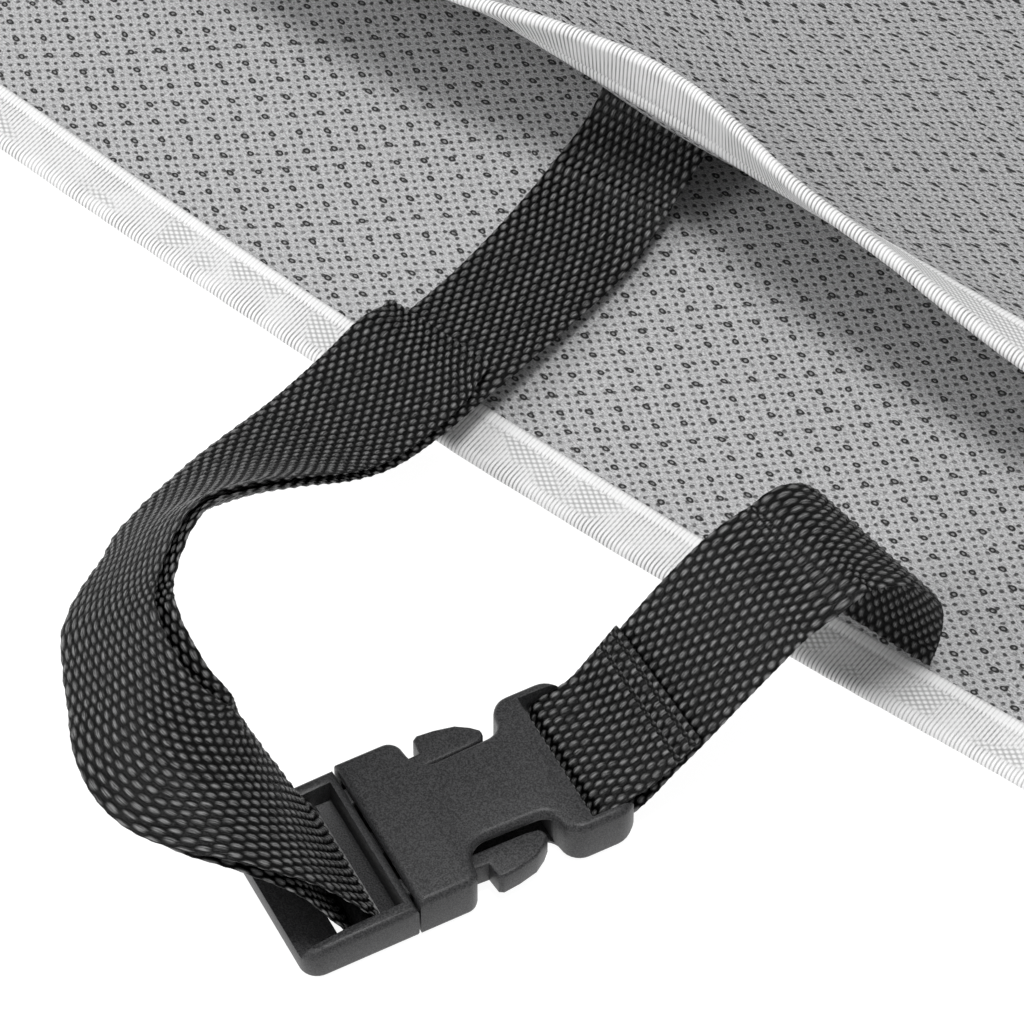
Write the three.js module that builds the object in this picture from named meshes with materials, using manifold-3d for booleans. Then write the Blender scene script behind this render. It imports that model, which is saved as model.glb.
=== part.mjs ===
// A caravan drawbar cover lying on its side, in millimetres, +Z up.
//
// Two side panels of grey three-layer nonwoven are sewn together along the nose, the ridge and the
// rear, and their lower edges, the hems, are bound with white ribbed tape. The lower panel lies flat
// with its inner face up. The upper panel's hem is drawn back and stands off it, so the mouth of the
// cover is open. A webbing strap from inside the upper panel runs out over the lower hem, rises in a
// free loop and goes down into the adjuster of a side release buckle. A short strap holds the other
// half of the buckle to the lower hem.
//
// While it is built, X runs along the hem, +Y runs from the hem into the cover, and the origin is just
// inside the line where the lower panel meets its tape, at the middle of the hem. The last lines move
// the whole part so that its origin is at the centre of its base.

import * as THREE from 'three';
import { mergeVertices } from 'three/addons/utils/BufferGeometryUtils.js';
import Module from 'manifold-3d';

const wasm = await Module();
wasm.setup();

// Driving dimensions.
const HEM_HALF = 410;          // half the length of the hem
const REAR_HEIGHT = 440;       // hem to ridge at the rear end
const NOSE_HEIGHT = 330;       // hem to ridge at the nose end
const REAR_RAKE = 14;          // how far the rear edge leans inwards
const NOSE_RAKE = 24;          // how far the nose edge leans inwards
const REAR_ROUND = 60;         // corner radii at the ridge
const NOSE_ROUND = 150;
const HEM_START = -1.6;        // the line where the lower panel meets its tape, and
const HEM_BOW = 10;            // how far it curves back over half its length
const CLOTH = 1;               // cloth thickness
const GAP = 0.3;               // clearance between touching pieces
const TAPE_WIDTH = 10.3;       // tape showing on each face of a hem
const TAPE = 0.5;              // tape thickness
const HEM_RISE = 25.8;         // height of the upper hem at the mouth, and
const HEM_FALL = 0.022;        // how much lower it is for each mm towards the nose
const HEM_SETBACK = 52.8;      // how far it is drawn back, and
const HEM_ARC = 2.3e-4;        // the bend of that line
const MOUTH_CENTRE = -25;      // the mouth stands open about this place,
const MOUTH_FLAT = 135;        // evenly for this far to each side,
const MOUTH_REACH = 400;       // and closes by this distance
const MOUTH_SLOPE = 16;        // degrees that the upper panel falls away behind its hem
const MOUTH_DEPTH = 120;       // where the upper panel comes down onto the lower one
const CURL_LENGTH = 7;         // cloth in the bend where the upper hem turns up
const SEAM_GAP = 0.5;          // the panels' distance at their seams
const WEBBING = 25;            // webbing width
const WEB = 1.1;               // webbing thickness
const LAYER = 0.7;             // half the distance between two layers of webbing

// How far the taped edge of the upper hem turns up, along the hem: 0 lies flat, 90 stands upright.
const HEM_CURL = [
  { x: -410, degrees: 0 },
  { x: -200, degrees: 1 },
  { x: -120, degrees: 4 },
  { x: -96, degrees: 26 },
  { x: -73, degrees: 56 },
  { x: -60, degrees: 79 },
  { x: -42, degrees: 100 },
  { x: -28, degrees: 92 },
  { x: -15, degrees: 69 },
  { x: -2, degrees: 56 },
  { x: 10, degrees: 51 },
  { x: 26, degrees: 35.5 },
  { x: 45, degrees: 17 },
  { x: 75, degrees: 8 },
  { x: 120, degrees: 4 },
  { x: 410, degrees: 0 },
];

// The long strap, from its sewn end under the upper panel to the adjuster's bar. x, y and z are the
// middle of its two layers, across is the heading of its width, tilt is how far its right edge is
// raised, and apart is half the distance between the layers.
const LONG_STRAP = [
  { x: -48, y: 104, z: 9.8, across: 0, tilt: 0, apart: LAYER },
  { x: -48, y: 88, z: 12.9, across: 0, tilt: 0, apart: LAYER },
  { x: -48, y: 76, z: 15.2, across: -1, tilt: 0, apart: LAYER },
  { x: -48, y: 66, z: 13.6, across: -4, tilt: 5, apart: LAYER },
  { x: -48, y: 58, z: 9.2, across: -6, tilt: 10, apart: LAYER },
  { x: -48, y: 49, z: 5.6, across: -5, tilt: 8, apart: LAYER },
  { x: -47, y: 36, z: 4.2, across: -1, tilt: 5, apart: LAYER },
  { x: -46.8, y: 20, z: 4.6, across: 1, tilt: 8, apart: LAYER },
  { x: -46.5, y: 3.8, z: 7.2, across: 1, tilt: 7, apart: LAYER },
  { x: -46.9, y: -4.6, z: 9.7, across: 0, tilt: -1, apart: LAYER },
  { x: -46.4, y: -15.6, z: 12.4, across: 1, tilt: 0, apart: LAYER },
  { x: -46, y: -29.4, z: 16.5, across: 2, tilt: 5, apart: LAYER },
  { x: -45.9, y: -42.4, z: 22.6, across: 6, tilt: 14, apart: LAYER },
  { x: -45.3, y: -55.5, z: 30.4, across: 10, tilt: 28, apart: LAYER },
  { x: -44.6, y: -67.9, z: 37.4, across: 13, tilt: 41, apart: LAYER },
  { x: -43.4, y: -79.4, z: 42, across: 16, tilt: 51, apart: LAYER },
  { x: -39.7, y: -92.4, z: 40.7, across: 18, tilt: 48, apart: 0.9 },
  { x: -35.2, y: -97.5, z: 38.8, across: 25, tilt: 48, apart: 1.1 },
  { x: -30.1, y: -101, z: 36.5, across: 36, tilt: 45, apart: 1.2 },
  { x: -24.5, y: -104.1, z: 33.9, across: 51, tilt: 35, apart: 1.2 },
  { x: -18.3, y: -105.5, z: 31.2, across: 71, tilt: 19, apart: 1.2 },
  { x: -11.9, y: -104.6, z: 28.1, across: 97, tilt: 2, apart: 1.2 },
  { x: -6.2, y: -102.2, z: 24.7, across: 122, tilt: -7, apart: 1.2 },
  { x: -1.2, y: -98.8, z: 18.3, across: 142, tilt: -5, apart: 1.5 },
  { x: 2.2, y: -95.8, z: 10.2, across: 154, tilt: 2, apart: 2.2 },
  { x: 3.3, y: -93.4, z: 4.4, across: 155, tilt: 0, apart: 2.6 },
];
// Its loose end lies at the row from. It has slipped sideways by slide, is turned by turn degrees, and
// in the loop both layers have slipped from the middle by slip.
const LONG_TAIL = { from: 8, slide: -3.5, turn: -9, slip: 1.2 };
const LOOP = { from: 13, full: 17, back: 18, to: 23 };

// The short strap, from the lower hem round its loop to the bar of the buckle's lug.
const SHORT_STRAP = [
  { x: 43.1, y: 0.2, z: 3.4, across: 1, tilt: 0, apart: LAYER },
  { x: 43.2, y: 2.2, z: 6.9, across: 0, tilt: 0, apart: LAYER },
  { x: 44, y: 3, z: 13.5, across: -4, tilt: 0, apart: LAYER },
  { x: 44.5, y: 2.4, z: 20.8, across: -8, tilt: 0, apart: LAYER },
  { x: 44, y: -0.6, z: 28.2, across: -12, tilt: 0, apart: LAYER },
  { x: 42.8, y: -5, z: 34.1, across: -16, tilt: 0, apart: LAYER },
  { x: 40.4, y: -10.8, z: 37.3, across: -20, tilt: 0, apart: LAYER },
  { x: 38.9, y: -17, z: 36.9, across: -21, tilt: -2, apart: LAYER },
  { x: 36.3, y: -22.7, z: 34.4, across: -20, tilt: -4, apart: LAYER },
  { x: 34.1, y: -28, z: 30.4, across: -19, tilt: -6, apart: LAYER },
  { x: 31.6, y: -33.8, z: 24.9, across: -19, tilt: -6, apart: LAYER },
  { x: 29.1, y: -39.4, z: 18.7, across: -20, tilt: -5, apart: LAYER },
  { x: 26.7, y: -43.8, z: 12.8, across: -22, tilt: -3, apart: LAYER },
  { x: 24.8, y: -47.4, z: 8.2, across: -25, tilt: 0, apart: 1.5 },
  { x: 22.4, y: -52.5, z: 5.2, across: -25, tilt: 0, apart: 2.5 },
];
const SHORT_TAIL = { from: 11, slide: 0, turn: 0, slip: 0 };  // its folded back end

// The buckle lies flat. Its own u axis runs from the adjuster to the lug and z up, with u = 0 at the
// mouth of the socket.
const BUCKLE_PLACE = { x: 6.8, y: -85.8, heading: 65 };
const BUCKLE_BASE = 0.4;       // its underside
const BUCKLE_HALF = 15.6;      // half its width
const SOCKET_TOP = 9.6;
const SOCKET_END = 41;         // the far end of the lug
const LUG_HALF = 14.9;         // half the lug's width
const SLOT_HALF = 13.2;         // half the length of both strap slots
const SLOT_FROM = 32.4;        // the lug's slot starts here
const LUG_BAR = { u: 36.8, z: 5.2, radius: 1.6 };
const POCKET = { half: 12.9, depth: 27, floor: 2.0, roof: 7.9 };
const WAIST = { from: 11, to: 26.5, half: 8.5 };
const FRAME_END = -20.3;       // the outer end of the adjuster
const FRAME_TOP = 8.4;
const END_PLATE = { outer: 5, inner: 2.6 };  // its slanted end plate's height at both edges
const FRAME_WINDOW = { from: -12.4, to: -4.7 };
const FRAME_LEDGE = { to: -1.9, z: 3.4 };      // the sunk step between its window and the shoulder
const FRAME_BAR = { u: -8.4, z: 4.4, radius: 1.6 };
const TONGUE = { from: -1.5, to: 19, half: 2.2, floor: 3, roof: 6.9 };
const ARM = { floor: 2.4, roof: 7.5 };

// One spring arm of the plug and the grip at its end. A line with a bend curves past that point.
const ARM_OUTLINE = [
  { u: -1.5, v: 8 },
  { u: 11, v: 9.4 },
  { u: 22, v: 9.6 },
  { u: 25, v: 11.4, bend: { u: 25, v: 10 } },
  { u: 17, v: 15.2, bend: { u: 22, v: 14.2 } },
  { u: 13.9, v: 12.4, bend: { u: 15, v: 15.8 } },
  { u: -1.5, v: 11.6 },
];

const COLOURS = {
  cloth: { color: 0xa3a3a4, roughness: 0.85, metalness: 0 },
  tape: { color: 0xf2f2f2, roughness: 0.7, metalness: 0 },
  webbing: { color: 0x1d1d1e, roughness: 0.55, metalness: 0 },
  moulding: { color: 0x2b2b2c, roughness: 0.5, metalness: 0 },
};

const radians = THREE.MathUtils.degToRad;
const mix = THREE.MathUtils.lerp;
const smooth = (value, from, to) => THREE.MathUtils.smoothstep(value, from, to);

// The turn of the upper hem at a place along it.
function hemTurn(x) {
  const next = Math.max(HEM_CURL.findIndex((row) => row.x >= x), 1);
  const [a, b] = [HEM_CURL[next - 1], HEM_CURL[next]];
  return radians(mix(a.degrees, b.degrees, (x - a.x) / (b.x - a.x)));
}

// A closed mesh from rings with the same number of points: the sides join the rings, and a fan
// closes each end.
function loft(rings) {
  const points = rings.flat();
  const count = rings[0].length;
  const faces = [];
  for (let r = 0; r + 1 < rings.length; r += 1) {
    for (let i = 0; i < count; i += 1) {
      const j = (i + 1) % count;
      const [a, b, c, d] = [r * count + i, r * count + j, (r + 1) * count + j, (r + 1) * count + i];
      faces.push([a, b, c], [a, c, d]);
    }
  }
  const last = (rings.length - 1) * count;
  for (const [a, b, c] of capFaces(rings[0])) {
    faces.push([a, c, b], [last + a, last + b, last + c]);
  }
  return closedGeometry(points, faces);
}

// The faces that close a ring: each point of its first half pairs with one of its second half.
function capFaces(ring) {
  const faces = [];
  for (let i = 0; i + 1 < ring.length / 2; i += 1) {
    const [a, b, c, d] = [i, i + 1, ring.length - 2 - i, ring.length - 1 - i];
    faces.push([a, b, c], [a, c, d]);
  }
  return faces;
}

// A geometry from points and faces, turned so that its faces point out.
function closedGeometry(points, faces) {
  let volume = 0;
  for (const [a, b, c] of faces) {
    volume += points[a].dot(new THREE.Vector3().crossVectors(points[b], points[c]));
  }
  const index = volume < 0 ? faces.flatMap(([a, b, c]) => [a, c, b]) : faces.flat();
  const geometry = new THREE.BufferGeometry();
  geometry.setAttribute('position', new THREE.Float32BufferAttribute(
    points.flatMap((point) => point.toArray()), 3));
  geometry.setIndex(index);
  geometry.computeVertexNormals();
  return geometry;
}

// A closed sheet from a grid of middle points and the normals there.
function sheet(grid, thickness) {
  const rows = grid.length;
  const columns = grid[0].length;
  const points = [];
  for (const side of [0.5, -0.5]) {
    for (const row of grid) {
      for (const { at, normal } of row) points.push(at.clone().addScaledVector(normal, side * thickness));
    }
  }
  const under = rows * columns;
  const faces = [];
  for (let r = 0; r + 1 < rows; r += 1) {
    for (let c = 0; c + 1 < columns; c += 1) {
      const [a, b, d, e] = [r * columns + c, r * columns + c + 1, (r + 1) * columns + c,
        (r + 1) * columns + c + 1];
      faces.push([a, b, e], [a, e, d], [under + a, under + e, under + b], [under + a, under + d, under + e]);
    }
  }
  const rim = [];
  for (let c = 0; c + 1 < columns; c += 1) rim.push(c);
  for (let r = 0; r + 1 < rows; r += 1) rim.push(r * columns + columns - 1);
  for (let c = columns - 1; c > 0; c -= 1) rim.push((rows - 1) * columns + c);
  for (let r = rows - 1; r > 0; r -= 1) rim.push(r * columns);
  rim.forEach((a, i) => {
    const b = rim[(i + 1) % rim.length];
    faces.push([b, a, under + a], [b, under + a, under + b]);
  });
  return closedGeometry(points, faces);
}

// The normals of a grid of points, from its neighbours along and across where a point has none.
function withNormals(grid) {
  return grid.map((row, r) => row.map((at, c) => {
    if (at.normal) return { at, normal: at.normal };
    const along = new THREE.Vector3().subVectors(
      row[Math.min(c + 1, row.length - 1)], row[Math.max(c - 1, 0)]);
    const inward = new THREE.Vector3().subVectors(
      grid[Math.min(r + 1, grid.length - 1)][c], grid[Math.max(r - 1, 0)][c]);
    return { at, normal: along.cross(inward).normalize() };
  }));
}

// The outline of a side panel: its hem line, its ends at a share of the way up, and its ridge.
const hemLine = (x) => HEM_START + HEM_BOW * (1 - Math.cos((Math.PI * x) / (HEM_HALF + GAP)));
const rearEdge = (share) => -HEM_HALF + REAR_RAKE * share;
const noseEdge = (share) => HEM_HALF - NOSE_RAKE * share;

function ridgeLine(x) {
  const [rear, nose] = [rearEdge(1), noseEdge(1)];
  const height = mix(REAR_HEIGHT, NOSE_HEIGHT, (x - rear) / (nose - rear));
  const cut = (distance, radius) => (distance >= radius ? 0
    : radius - Math.sqrt(radius ** 2 - (radius - Math.max(distance, 0)) ** 2));
  return height - cut(x - rear, REAR_ROUND) - cut(nose - x, NOSE_ROUND);
}

// The point of a panel a distance in from its hem, on the line that starts there at x.
function inward(x, hem, depth, z) {
  const along = (x + HEM_HALF) / (2 * HEM_HALF);
  const share = Math.max(depth, 0) / (ridgeAbove(x) - hem);
  return new THREE.Vector3(mix(rearEdge(share), noseEdge(share), along), hem + depth, z);
}

function ridgeAbove(x) {
  return ridgeLine(mix(rearEdge(1), noseEdge(1), (x + HEM_HALF) / (2 * HEM_HALF)));
}

// Columns along the hem, close together about the mouth and at the rounded corners.
const CORNER = 20;
const COLUMNS = [-HEM_HALF, 3 - HEM_HALF, CORNER / 2 - HEM_HALF];
for (let x = CORNER - HEM_HALF; x < -130; x += 20) COLUMNS.push(x);
for (let x = -130; x < 80; x += 5) COLUMNS.push(x);
for (let x = 80; x < HEM_HALF - CORNER / 2; x += 22) COLUMNS.push(x);
COLUMNS.push(HEM_HALF - CORNER / 2, HEM_HALF - 3, HEM_HALF);
const LOWER_COLUMNS = COLUMNS.filter((x, i) => i % 3 === 0 || Math.abs(x) >= HEM_HALF - CORNER);

// How far the mouth is open at a place on the hem, from 0 to 1.
const opening = (x) => 1 - smooth(Math.abs(x - MOUTH_CENTRE), MOUTH_FLAT, MOUTH_REACH);

const TAPE_STACK = TAPE + GAP;                       // tape and clearance on one face
const LOWER_MIDDLE = CLOTH / 2;                      // middle height of the lower panel's flat
const UPPER_MIDDLE = CLOTH + SEAM_GAP + CLOTH / 2;   // and of the upper panel at a seam
const CLOTH_IN_TAPE = TAPE_WIDTH - TAPE - 3 * GAP;   // cloth inside the folded tape
const THIRD = CLOTH_IN_TAPE / 3;

// The lower hem: where the cloth meets the tape, which way the edge points, and its normal.
function lowerHem(x) {
  return {
    at: new THREE.Vector3(x, hemLine(x), LOWER_MIDDLE + TAPE_STACK),
    out: new THREE.Vector3(0, -1, 0),
    normal: new THREE.Vector3(0, 0, 1),
  };
}

function upperHem(x) {
  const turn = hemTurn(x);
  const open = opening(x);
  const closed = UPPER_MIDDLE + 3 * TAPE_STACK;
  const setback = HEM_SETBACK + HEM_ARC * x ** 2;
  const rise = HEM_RISE - HEM_FALL * x;
  return {
    at: new THREE.Vector3(x, mix(hemLine(x), setback, open), mix(closed, rise, open)),
    out: new THREE.Vector3(0, -Math.cos(turn), Math.sin(turn)),
    normal: new THREE.Vector3(0, Math.sin(turn), Math.cos(turn)),
    turn,
    open,
  };
}

// The lower panel is flat, and rises by the thickness of the tape at its hem.
function lowerPanel() {
  const near = [-CLOTH_IN_TAPE, 0, 4, 12, 24];
  const far = [0.1, 0.25, 0.4, 0.6, 0.8, 0.92, 1];
  const flat = near[near.length - 1];
  const columns = LOWER_COLUMNS.map((x) => {
    const hem = hemLine(x);
    const points = near.map((depth) => inward(
      x, hem, depth, LOWER_MIDDLE + TAPE_STACK * (1 - smooth(depth, 0, flat))));
    for (const share of far) points.push(inward(x, hem, mix(flat, ridgeAbove(x) - hem, share), LOWER_MIDDLE));
    return points;
  });
  return sheet(withNormals(turned(columns)), CLOTH);
}

// Rows of points from columns of points.
const turned = (columns) => columns[0].map((_, r) => columns.map((column) => column[r]));

// Height of the upper panel's middle, a distance inwards from where its hem has finished turning.
function fallAway(depth, start, open) {
  const reach = mix(40, MOUTH_DEPTH, open);
  const left = Math.max(1 - depth / reach, 0);
  return UPPER_MIDDLE + (start - UPPER_MIDDLE) * left ** 1.6;
}

// The upper panel: the cloth in the tape, the bend behind it, and the fall onto the lower panel.
function upperPanel() {
  const bendSteps = 5;
  const falls = [5, 15, 28, 46, 70, 98, 125];
  const far = [0.2, 0.4, 0.6, 0.82, 1];
  const columns = COLUMNS.map((x) => {
    const hem = upperHem(x);
    const slope = radians(MOUTH_SLOPE) * hem.open;
    const points = [CLOTH_IN_TAPE, 2 * THIRD, THIRD, -GAP].map((out) => (
      Object.assign(hem.at.clone().addScaledVector(hem.out, out), { normal: hem.normal })));
    const at = points[points.length - 1].clone();
    for (let i = 1; i <= bendSteps; i += 1) {
      const angle = mix(hem.turn, slope, (i - 0.5) / bendSteps);
      at.y += (CURL_LENGTH / bendSteps) * Math.cos(angle);
      at.z -= (CURL_LENGTH / bendSteps) * Math.sin(angle);
      points.push(at.clone());
    }
    for (const depth of falls) points.push(inward(x, at.y, depth, fallAway(depth, at.z, hem.open)));
    const last = falls[falls.length - 1];
    for (const share of far) {
      const depth = mix(last, ridgeAbove(x) - at.y, share);
      points.push(inward(x, at.y, depth, UPPER_MIDDLE + swell(x, share)));
    }
    return points;
  });
  return sheet(withNormals(turned(columns)), CLOTH);
}

// The upper panel lies a little proud of the lower one between its seams.
const SWELL = 7;
const swell = (x, share) => (
  SWELL * (Math.sin(Math.PI * share) * Math.cos((Math.PI * x) / (2 * HEM_HALF))) ** 2);

// A tape folded round a hem: a U in section, swept along it.
function binding(hem, columns) {
  const inner = CLOTH / 2 + GAP;
  const outer = inner + TAPE;
  const fold = TAPE_WIDTH - TAPE;
  const face = [{ out: 0, off: outer }, { out: THIRD, off: outer }, { out: 2 * THIRD, off: outer },
    { out: TAPE_WIDTH - 1.2, off: outer }, { out: TAPE_WIDTH, off: 0.5 * outer }];
  const back = [{ out: fold, off: 0.4 * inner }, { out: fold - 0.8, off: inner },
    { out: 2 * THIRD, off: inner }, { out: THIRD, off: inner }, { out: 0, off: inner }];
  const under = (points) => points.map(({ out, off }) => ({ out, off: -off })).reverse();
  const section = [...face, ...under(face), ...under(back), ...back];
  return loft(columns.map((x) => {
    const { at, out, normal } = hem(x);
    return section.map((p) => at.clone().addScaledVector(out, p.out).addScaledVector(normal, p.off));
  }));
}

// The frames along a strap: a place, the direction across it, and the way its upper face looks.
function strapFrames(rows, stepsPerRow) {
  const spread = (name) => new THREE.CatmullRomCurve3(
    rows.map((row) => new THREE.Vector3(row[name], 0, 0)), false, 'catmullrom', 0.5);
  const path = new THREE.CatmullRomCurve3(
    rows.map(({ x, y, z }) => new THREE.Vector3(x, y, z)), false, 'catmullrom', 0.5);
  const curves = { across: spread('across'), tilt: spread('tilt'), apart: spread('apart') };
  const steps = (rows.length - 1) * stepsPerRow;
  const frames = [];
  for (let i = 0; i <= steps; i += 1) {
    const t = i / steps;
    const heading = radians(curves.across.getPoint(t).x);
    const tilt = radians(curves.tilt.getPoint(t).x);
    const tangent = path.getTangent(t);
    const across = new THREE.Vector3(
      Math.cos(heading) * Math.cos(tilt), Math.sin(heading) * Math.cos(tilt), Math.sin(tilt));
    across.addScaledVector(tangent, -across.dot(tangent)).normalize();
    const face = new THREE.Vector3().crossVectors(tangent, across);
    frames.push({ at: path.getPoint(t), tangent, across, face, apart: curves.apart.getPoint(t).x });
  }
  return frames;
}

// Lines along a strap's face, as shares of half its width.
const STRAP_LINES = [-1, -0.5, 0, 0.5, 1];

// A strap that lies along its rows as the lower layer, turns round a bar at the last row, and comes
// back as the upper layer to its loose end.
function strap(rows, tail) {
  const stepsPerRow = 3;
  const frames = strapFrames(rows, stepsPerRow);
  const layer = ({ at, across, face, apart }, i, side) => {
    const row = i / stepsPerRow;
    const slip = tail.slip * smooth(row, LOOP.from, LOOP.full) * (1 - smooth(row, LOOP.back, LOOP.to));
    return {
      at: at.clone().addScaledVector(face, side * apart).addScaledVector(across, -side * slip),
      across,
      face: face.clone().multiplyScalar(-side),
    };
  };
  const centres = frames.map((frame, i) => layer(frame, i, -1));
  const last = frames[frames.length - 1];
  const turns = 8;
  for (let i = 1; i < turns; i += 1) {
    const angle = (Math.PI * i) / turns;
    const inward = last.face.clone().multiplyScalar(Math.cos(angle))
      .addScaledVector(last.tangent, -Math.sin(angle));
    centres.push({
      at: last.at.clone().addScaledVector(inward, -last.apart), across: last.across, face: inward,
    });
  }
  for (let i = frames.length - 1; i >= tail.from * stepsPerRow; i -= 1) {
    const { at, across, face } = layer(frames[i], i, 1);
    const loose = (rows.length - 1 - i / stepsPerRow) / (rows.length - 1 - tail.from);
    centres.push({
      at: at.addScaledVector(across, tail.slide * loose ** 12),
      across: across.clone().applyAxisAngle(frames[i].face, radians(tail.turn) * loose ** 12),
      face,
    });
  }
  const section = [...STRAP_LINES.map((a) => [a, -1]), ...STRAP_LINES.toReversed().map((a) => [a, 1])];
  return loft(centres.map(({ at, across, face }) => section.map(([a, b]) => (
    at.clone().addScaledVector(across, (a * WEBBING) / 2).addScaledVector(face, (b * WEB) / 2)))));
}

// Solids for the buckle, joined and cut.
function solid(geometry) {
  const bare = geometry.clone();
  for (const name of ['normal', 'uv']) bare.deleteAttribute(name);
  const merged = mergeVertices(bare, 1e-4);
  return new wasm.Manifold(new wasm.Mesh({
    numProp: 3, vertProperties: merged.attributes.position.array, triVerts: merged.index.array,
  }));
}

function geometryOf(manifold) {
  const mesh = manifold.getMesh();
  const geometry = new THREE.BufferGeometry();
  geometry.setAttribute('position', new THREE.Float32BufferAttribute(mesh.vertProperties, 3));
  geometry.setIndex(Array.from(mesh.triVerts));
  geometry.computeVertexNormals();
  return geometry;
}

function plate(shape, low, high) {
  const depth = high - low;
  const geometry = new THREE.ExtrudeGeometry(shape, { depth, bevelEnabled: false, curveSegments: 5 });
  return solid(geometry.translate(0, 0, low));
}

function block(from, to, half, low, high) {
  const geometry = new THREE.BoxGeometry(to - from, 2 * half, high - low);
  return solid(geometry.translate((from + to) / 2, 0, (low + high) / 2));
}

function crossBar({ u, z, radius }, half) {
  return solid(new THREE.CylinderGeometry(radius, radius, 2 * half, 12).translate(u, 0, z));
}

// The outline of the socket: broad at the mouth, waisted where the arms of the plug show, and
// broad again at the lug.
function socketOutline() {
  const shape = new THREE.Shape();
  const edge = (side) => [
    { u: WAIST.from - 2.2, v: side * BUCKLE_HALF, bend: null },
    { u: WAIST.from + 2.6,
      v: side * (WAIST.half + 0.6),
      bend: { u: WAIST.from + 0.2, v: side * BUCKLE_HALF } },
    { u: WAIST.from + 6, v: side * WAIST.half, bend: { u: WAIST.from + 3.6, v: side * WAIST.half } },
    { u: WAIST.to - 1, v: side * (WAIST.half + 0.3), bend: null },
    { u: WAIST.to + 1.1, v: side * (LUG_HALF - 3.4), bend: { u: WAIST.to + 1, v: side * (WAIST.half + 1) } },
    { u: WAIST.to + 4.6, v: side * LUG_HALF, bend: { u: WAIST.to + 1.3, v: side * LUG_HALF } },
    { u: SOCKET_END - 4, v: side * LUG_HALF, bend: null },
    { u: SOCKET_END, v: side * (LUG_HALF - 3.4), bend: { u: SOCKET_END, v: side * LUG_HALF } },
  ];
  shape.moveTo(0, -BUCKLE_HALF);
  for (const p of edge(-1)) {
    if (p.bend) shape.quadraticCurveTo(p.bend.u, p.bend.v, p.u, p.v);
    else shape.lineTo(p.u, p.v);
  }
  const back = edge(1);
  shape.lineTo(back[back.length - 1].u, back[back.length - 1].v);
  for (let i = back.length - 1; i > 0; i -= 1) {
    const [p, q] = [back[i], back[i - 1]];
    if (p.bend) shape.quadraticCurveTo(p.bend.u, p.bend.v, q.u, q.v);
    else shape.lineTo(q.u, q.v);
  }
  shape.lineTo(0, BUCKLE_HALF);
  return shape;
}

function socket() {
  return plate(socketOutline(), BUCKLE_BASE, SOCKET_TOP)
    .subtract(block(-1, POCKET.depth, POCKET.half, POCKET.floor, POCKET.roof))
    .subtract(block(SLOT_FROM, SOCKET_END + 1, SLOT_HALF, 0, SOCKET_TOP + 1))
    .add(crossBar(LUG_BAR, SLOT_HALF + 1));
}

function arm(side) {
  const shape = new THREE.Shape();
  shape.moveTo(ARM_OUTLINE[0].u, side * ARM_OUTLINE[0].v);
  for (const { u, v, bend } of ARM_OUTLINE.slice(1)) {
    if (bend) shape.quadraticCurveTo(bend.u, side * bend.v, u, side * v);
    else shape.lineTo(u, side * v);
  }
  return plate(shape, ARM.floor, ARM.roof);
}

// The room over the adjuster's end plate, which slants down to the window.
function aboveEndPlate() {
  const [outer, inner] = [FRAME_END - 1, FRAME_WINDOW.from + 0.5];
  const shape = new THREE.Shape();
  shape.moveTo(outer, END_PLATE.outer);
  shape.lineTo(inner, END_PLATE.inner);
  shape.lineTo(inner, FRAME_TOP + 1);
  shape.lineTo(outer, FRAME_TOP + 1);
  const geometry = new THREE.ExtrudeGeometry(shape, { depth: 2 * SLOT_HALF, bevelEnabled: false });
  return solid(geometry.rotateX(Math.PI / 2).translate(0, SLOT_HALF, 0));
}

function plug() {
  const rails = new THREE.Shape();
  rails.moveTo(FRAME_END + 3, -BUCKLE_HALF);
  rails.lineTo(-GAP, -BUCKLE_HALF);
  rails.lineTo(-GAP, BUCKLE_HALF);
  rails.lineTo(FRAME_END + 3, BUCKLE_HALF);
  rails.quadraticCurveTo(FRAME_END, BUCKLE_HALF, FRAME_END, BUCKLE_HALF - 3);
  rails.lineTo(FRAME_END, 3 - BUCKLE_HALF);
  rails.quadraticCurveTo(FRAME_END, -BUCKLE_HALF, FRAME_END + 3, -BUCKLE_HALF);
  let body = plate(rails, BUCKLE_BASE, FRAME_TOP)
    .subtract(block(FRAME_WINDOW.from, FRAME_WINDOW.to, SLOT_HALF, 0, FRAME_TOP + 1))
    .subtract(block(FRAME_WINDOW.to - 0.5, FRAME_LEDGE.to, SLOT_HALF, FRAME_LEDGE.z, FRAME_TOP + 1))
    .subtract(aboveEndPlate())
    .add(crossBar(FRAME_BAR, SLOT_HALF + 1))
    .add(block(TONGUE.from, TONGUE.to, TONGUE.half, TONGUE.floor, TONGUE.roof));
  for (const side of [1, -1]) body = body.add(arm(side));
  return body;
}

function finish({ color, roughness, metalness }) {
  return new THREE.MeshStandardMaterial({ color, roughness, metalness });
}

function named(name, geometry, colour) {
  const mesh = new THREE.Mesh(geometry, finish(colour));
  mesh.name = name;
  return mesh;
}

const cover = new THREE.Group();
cover.add(named('panel_lower', lowerPanel(), COLOURS.cloth));
cover.add(named('panel_upper', upperPanel(), COLOURS.cloth));
cover.add(named('binding_hem_lower', binding(lowerHem, LOWER_COLUMNS), COLOURS.tape));
cover.add(named('binding_hem_upper', binding(upperHem, COLUMNS), COLOURS.tape));
cover.add(named('strap_long', strap(LONG_STRAP, LONG_TAIL), COLOURS.webbing));
cover.add(named('strap_short', strap(SHORT_STRAP, SHORT_TAIL), COLOURS.webbing));

const buckle = new THREE.Group();
buckle.position.set(BUCKLE_PLACE.x, BUCKLE_PLACE.y, 0);
buckle.rotation.z = radians(BUCKLE_PLACE.heading);
buckle.add(named('buckle_socket', geometryOf(socket()), COLOURS.moulding));
buckle.add(named('buckle_plug', geometryOf(plug()), COLOURS.moulding));
cover.add(buckle);

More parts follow.
